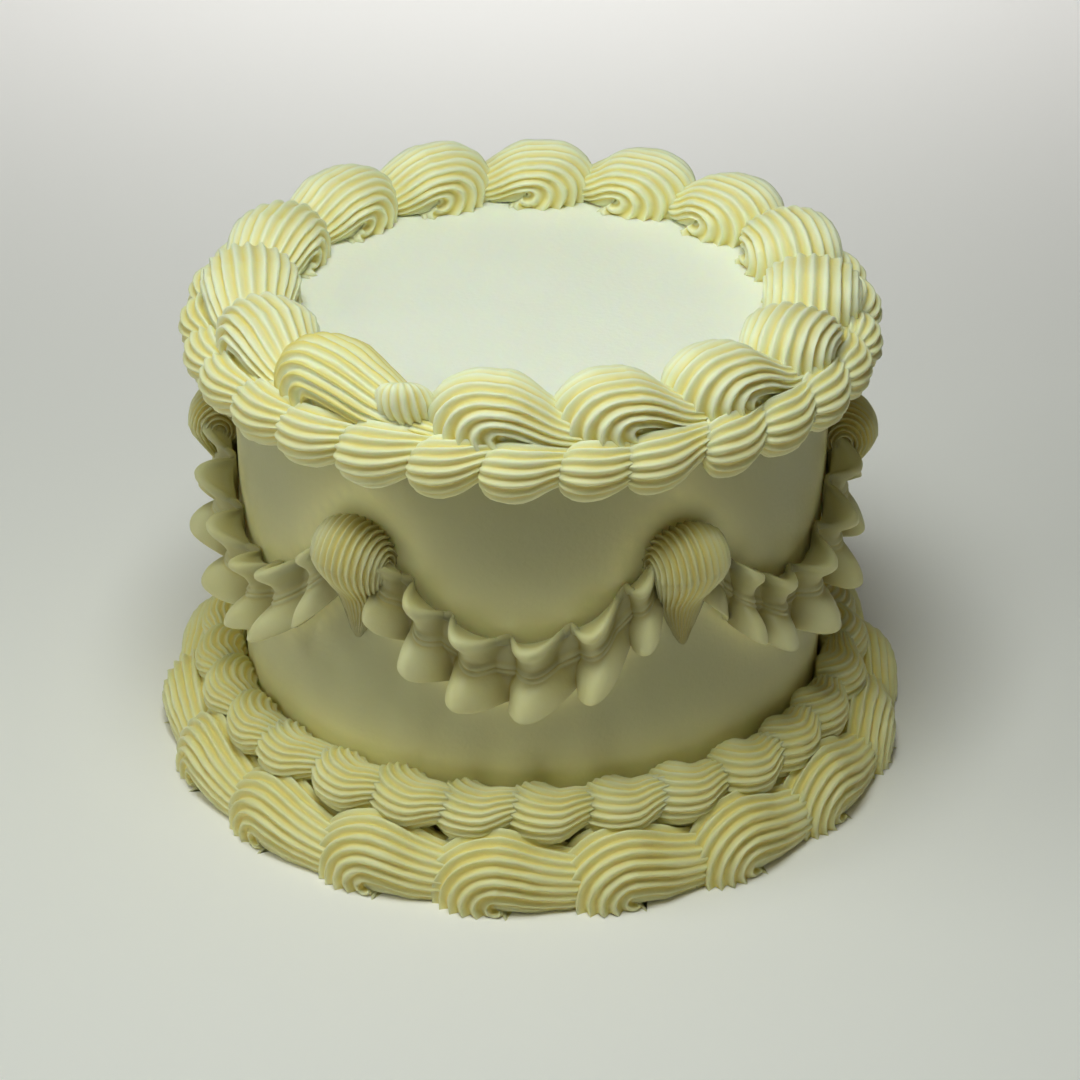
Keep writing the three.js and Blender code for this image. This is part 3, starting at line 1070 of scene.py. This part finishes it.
class CAKE_OT_top_shells(Operator):
    """Pipe the large shells on the top edge"""

    bl_idname = "cake.top_shells"
    bl_label = "Top shells"
    bl_options = {"REGISTER", "UNDO"}

    def execute(self, context):
        sizes = context.scene.cake.top_shells
        span = (2.0 * math.pi - sizes.last_span) / (sizes.count - 1)
        spans = [span] * (sizes.count - 1) + [sizes.last_span]
        last = ring_of_shells("top_shell", sizes, spans, TOP_SHELL_SEED, piped_finish(context))
        pull_up_dab(context, last)
        return {"FINISHED"}


class CAKE_OT_top_beads(Operator):
    """Pipe the row of small shells along the upper edge of the wall"""

    bl_idname = "cake.top_beads"
    bl_label = "Top beads"
    bl_options = {"REGISTER", "UNDO"}

    def execute(self, context):
        sizes = context.scene.cake.top_beads
        rope = pipe_rope("top_beads", sizes, TOP_BEAD, TOP_BEAD_SEED)
        hand_over(rope, "top_bead_border", piped_finish(context))
        return {"FINISHED"}


class CAKE_OT_swags(Operator):
    """Hang the ruffle swags on the wall"""

    bl_idname = "cake.swags"
    bl_label = "Ruffle swags"
    bl_options = {"REGISTER", "UNDO"}

    def execute(self, context):
        cake = context.scene.cake
        chance = random.Random(SWAG_SEED)
        pitch = 2.0 * math.pi / cake.drop_shells.count
        for i in range(cake.drop_shells.count):
            node = f"ruffle_swag_{i + 1}"
            first = cake.drop_shells.first + i * pitch
            ribbon = ruffle_ribbon(node, cake.swags, first, pitch, cake.coat.radius, chance)
            hand_over(ribbon, node, piped_finish(context))
        return {"FINISHED"}


class CAKE_OT_drop_shells(Operator):
    """Pipe the upright shells over the joins of the swags"""

    bl_idname = "cake.drop_shells"
    bl_label = "Drop shells"
    bl_options = {"REGISTER", "UNDO"}

    def execute(self, context):
        cake = context.scene.cake
        sizes = cake.drop_shells
        chance = random.Random(DROP_SHELL_SEED)
        model = pipe_shell("drop_shell_model", sizes, sizes.reach)
        for i in range(sizes.count):
            node = f"drop_shell_{i + 1}"
            shell = copy_of(model, node)
            aside = DROP_LEAN if i % 2 else -DROP_LEAN
            turn(math.radians(aside + chance.uniform(-DROP_CHANCE, DROP_CHANCE)), "Z")
            turn(-0.5 * math.pi, "X")
            turn(-0.5 * math.pi, "Z")
            move((cake.coat.radius - DROP_SINK, 0.0, sizes.eye_height))
            turn(sizes.first + i * 2.0 * math.pi / sizes.count, "Z")
            settle()
            roughen(shell, *DROP_SWELLS)
            mark_painted_wall_shade(shell, cake.coat.radius)
            hand_over(shell, node, piped_finish(context))
        discard([model])
        return {"FINISHED"}


class CAKE_OT_base_shells(Operator):
    """Pipe the large shells round the foot"""

    bl_idname = "cake.base_shells"
    bl_label = "Base shells"
    bl_options = {"REGISTER", "UNDO"}

    def execute(self, context):
        sizes = context.scene.cake.base_shells
        spans = [2.0 * math.pi / sizes.count] * sizes.count
        ring_of_shells("base_shell", sizes, spans, BASE_SHELL_SEED, piped_finish(context))
        return {"FINISHED"}


class CAKE_OT_base_beads(Operator):
    """Pipe the row of small shells on the foot border"""

    bl_idname = "cake.base_beads"
    bl_label = "Base beads"
    bl_options = {"REGISTER", "UNDO"}

    def execute(self, context):
        sizes = context.scene.cake.base_beads
        rope = pipe_rope("base_beads", sizes, BASE_BEAD, BASE_BEAD_SEED)
        hand_over(rope, "base_bead_border", piped_finish(context))
        return {"FINISHED"}


def area_light(name, place, aim, size, power, tint):
    """A soft square light aimed at a point."""
    bpy.ops.object.light_add(type="AREA", location=place)
    lamp = bpy.context.object
    lamp.name = name
    lamp.data.size = size
    lamp.data.energy = power
    lamp.data.color = tint
    lamp.rotation_euler = (Vector(aim) - Vector(place)).to_track_quat("-Z", "Y").to_euler()
    return lamp


class CAKE_OT_stage(Operator):
    """Set up the floor, the lights and the camera"""

    bl_idname = "cake.stage"
    bl_label = "Stage"
    bl_options = {"REGISTER", "UNDO"}

    def execute(self, context):
        cake = context.scene.cake
        object_mode()
        bpy.ops.mesh.primitive_plane_add(size=8.0, location=ORIGIN)
        floor = bpy.context.object
        floor.name = "floor"
        material, _, shader = new_material("Studio floor")
        shader.inputs["Base Color"].default_value = (*cake.finish.floor, 1.0)
        shader.inputs["Roughness"].default_value = 0.9
        shader.inputs["Specular IOR Level"].default_value = 0.1
        floor.data.materials.append(material)

        area_light("overhead", (-0.05, -0.21, 0.76), (0.0, 0.0, 0.08), 0.32, 3.45, CAKE_LIGHT)
        area_light("left", (-1.20, -0.20, 0.65), (0.0, 0.0, 0.07), 0.7, 3.4, CAKE_LIGHT)
        behind = area_light("behind", (0.0, 0.50, 0.90), (0.0, 0.80, 0.0), 0.6, 1.2, FLOOR_LIGHT)
        behind.data.spread = math.radians(70.0)
        for i in range(FAR_LIGHTS):
            turned = math.radians(18.0) + i * 2.0 * math.pi / FAR_LIGHTS
            side = Vector((math.cos(turned), math.sin(turned), 0.0))
            stand = 1.1 * side + Vector((0.0, 0.0, 1.2))
            far = area_light(f"far_{i + 1}", stand, 1.6 * side, 0.8, 4.5, FLOOR_LIGHT)
            far.data.spread = math.radians(95.0)

        world = bpy.data.worlds.new("Studio")
        world.use_nodes = True
        background = world.node_tree.nodes["Background"]
        background.inputs["Color"].default_value = (1.0, 0.95, 0.8, 1.0)
        background.inputs["Strength"].default_value = 0.06
        context.scene.world = world
        context.scene.view_settings.view_transform = "Standard"

        view = cake.view
        away = Vector((0.0, -math.cos(view.elevation), math.sin(view.elevation)))
        up = Vector((0.0, math.sin(view.elevation), math.cos(view.elevation)))
        target = Vector((0.0, 0.0, view.target))
        place = target + view.distance * away
        aim = target + Vector((view.aside, 0.0, 0.0)) - view.below * up
        bpy.ops.object.camera_add(location=place)
        camera = bpy.context.object
        camera.name = "photo_camera"
        camera.data.lens = view.lens
        camera.data.sensor_width = 36.0
        camera.data.clip_start = 0.01
        camera.rotation_euler = (aim - place).to_track_quat("-Z", "Y").to_euler()
        context.scene.camera = camera
        return {"FINISHED"}


class CAKE_PT_sidebar(Panel):
    """Lists the steps of the cake"""

    bl_idname = "CAKE_PT_sidebar"
    bl_label = "Piped cake"
    bl_space_type = "VIEW_3D"
    bl_region_type = "UI"
    bl_category = "Cake"

    def draw(self, context):
        column = self.layout.column(align=True)
        for step in STEPS:
            column.operator(step.bl_idname)


STEPS = (
    CAKE_OT_coat,
    CAKE_OT_top_shells,
    CAKE_OT_top_beads,
    CAKE_OT_drop_shells,
    CAKE_OT_swags,
    CAKE_OT_base_shells,
    CAKE_OT_base_beads,
    CAKE_OT_stage,
)

GROUPS = (
    CAKE_PG_coat,
    CAKE_PG_top_shells,
    CAKE_PG_base_shells,
    CAKE_PG_drop_shells,
    CAKE_PG_top_beads,
    CAKE_PG_base_beads,
    CAKE_PG_swags,
    CAKE_PG_finish,
    CAKE_PG_view,
    CAKE_PG_settings,
)


def register():
    """Register the settings, the steps and the panel."""
    for item in (*GROUPS, *STEPS, CAKE_PT_sidebar):
        bpy.utils.register_class(item)
    bpy.types.Scene.cake = PointerProperty(type=CAKE_PG_settings)


def unregister():
    """Take everything out again."""
    del bpy.types.Scene.cake
    for item in reversed((*GROUPS, *STEPS, CAKE_PT_sidebar)):
        bpy.utils.unregister_class(item)


def main():
    """Model the cake step by step and set up its stage."""
    register()
    bpy.ops.cake.coat()
    bpy.ops.cake.top_shells()
    bpy.ops.cake.top_beads()
    bpy.ops.cake.drop_shells()
    bpy.ops.cake.swags()
    bpy.ops.cake.base_shells()
    bpy.ops.cake.base_beads()
    bpy.ops.cake.stage()


if __name__ == "__main__":
    main()
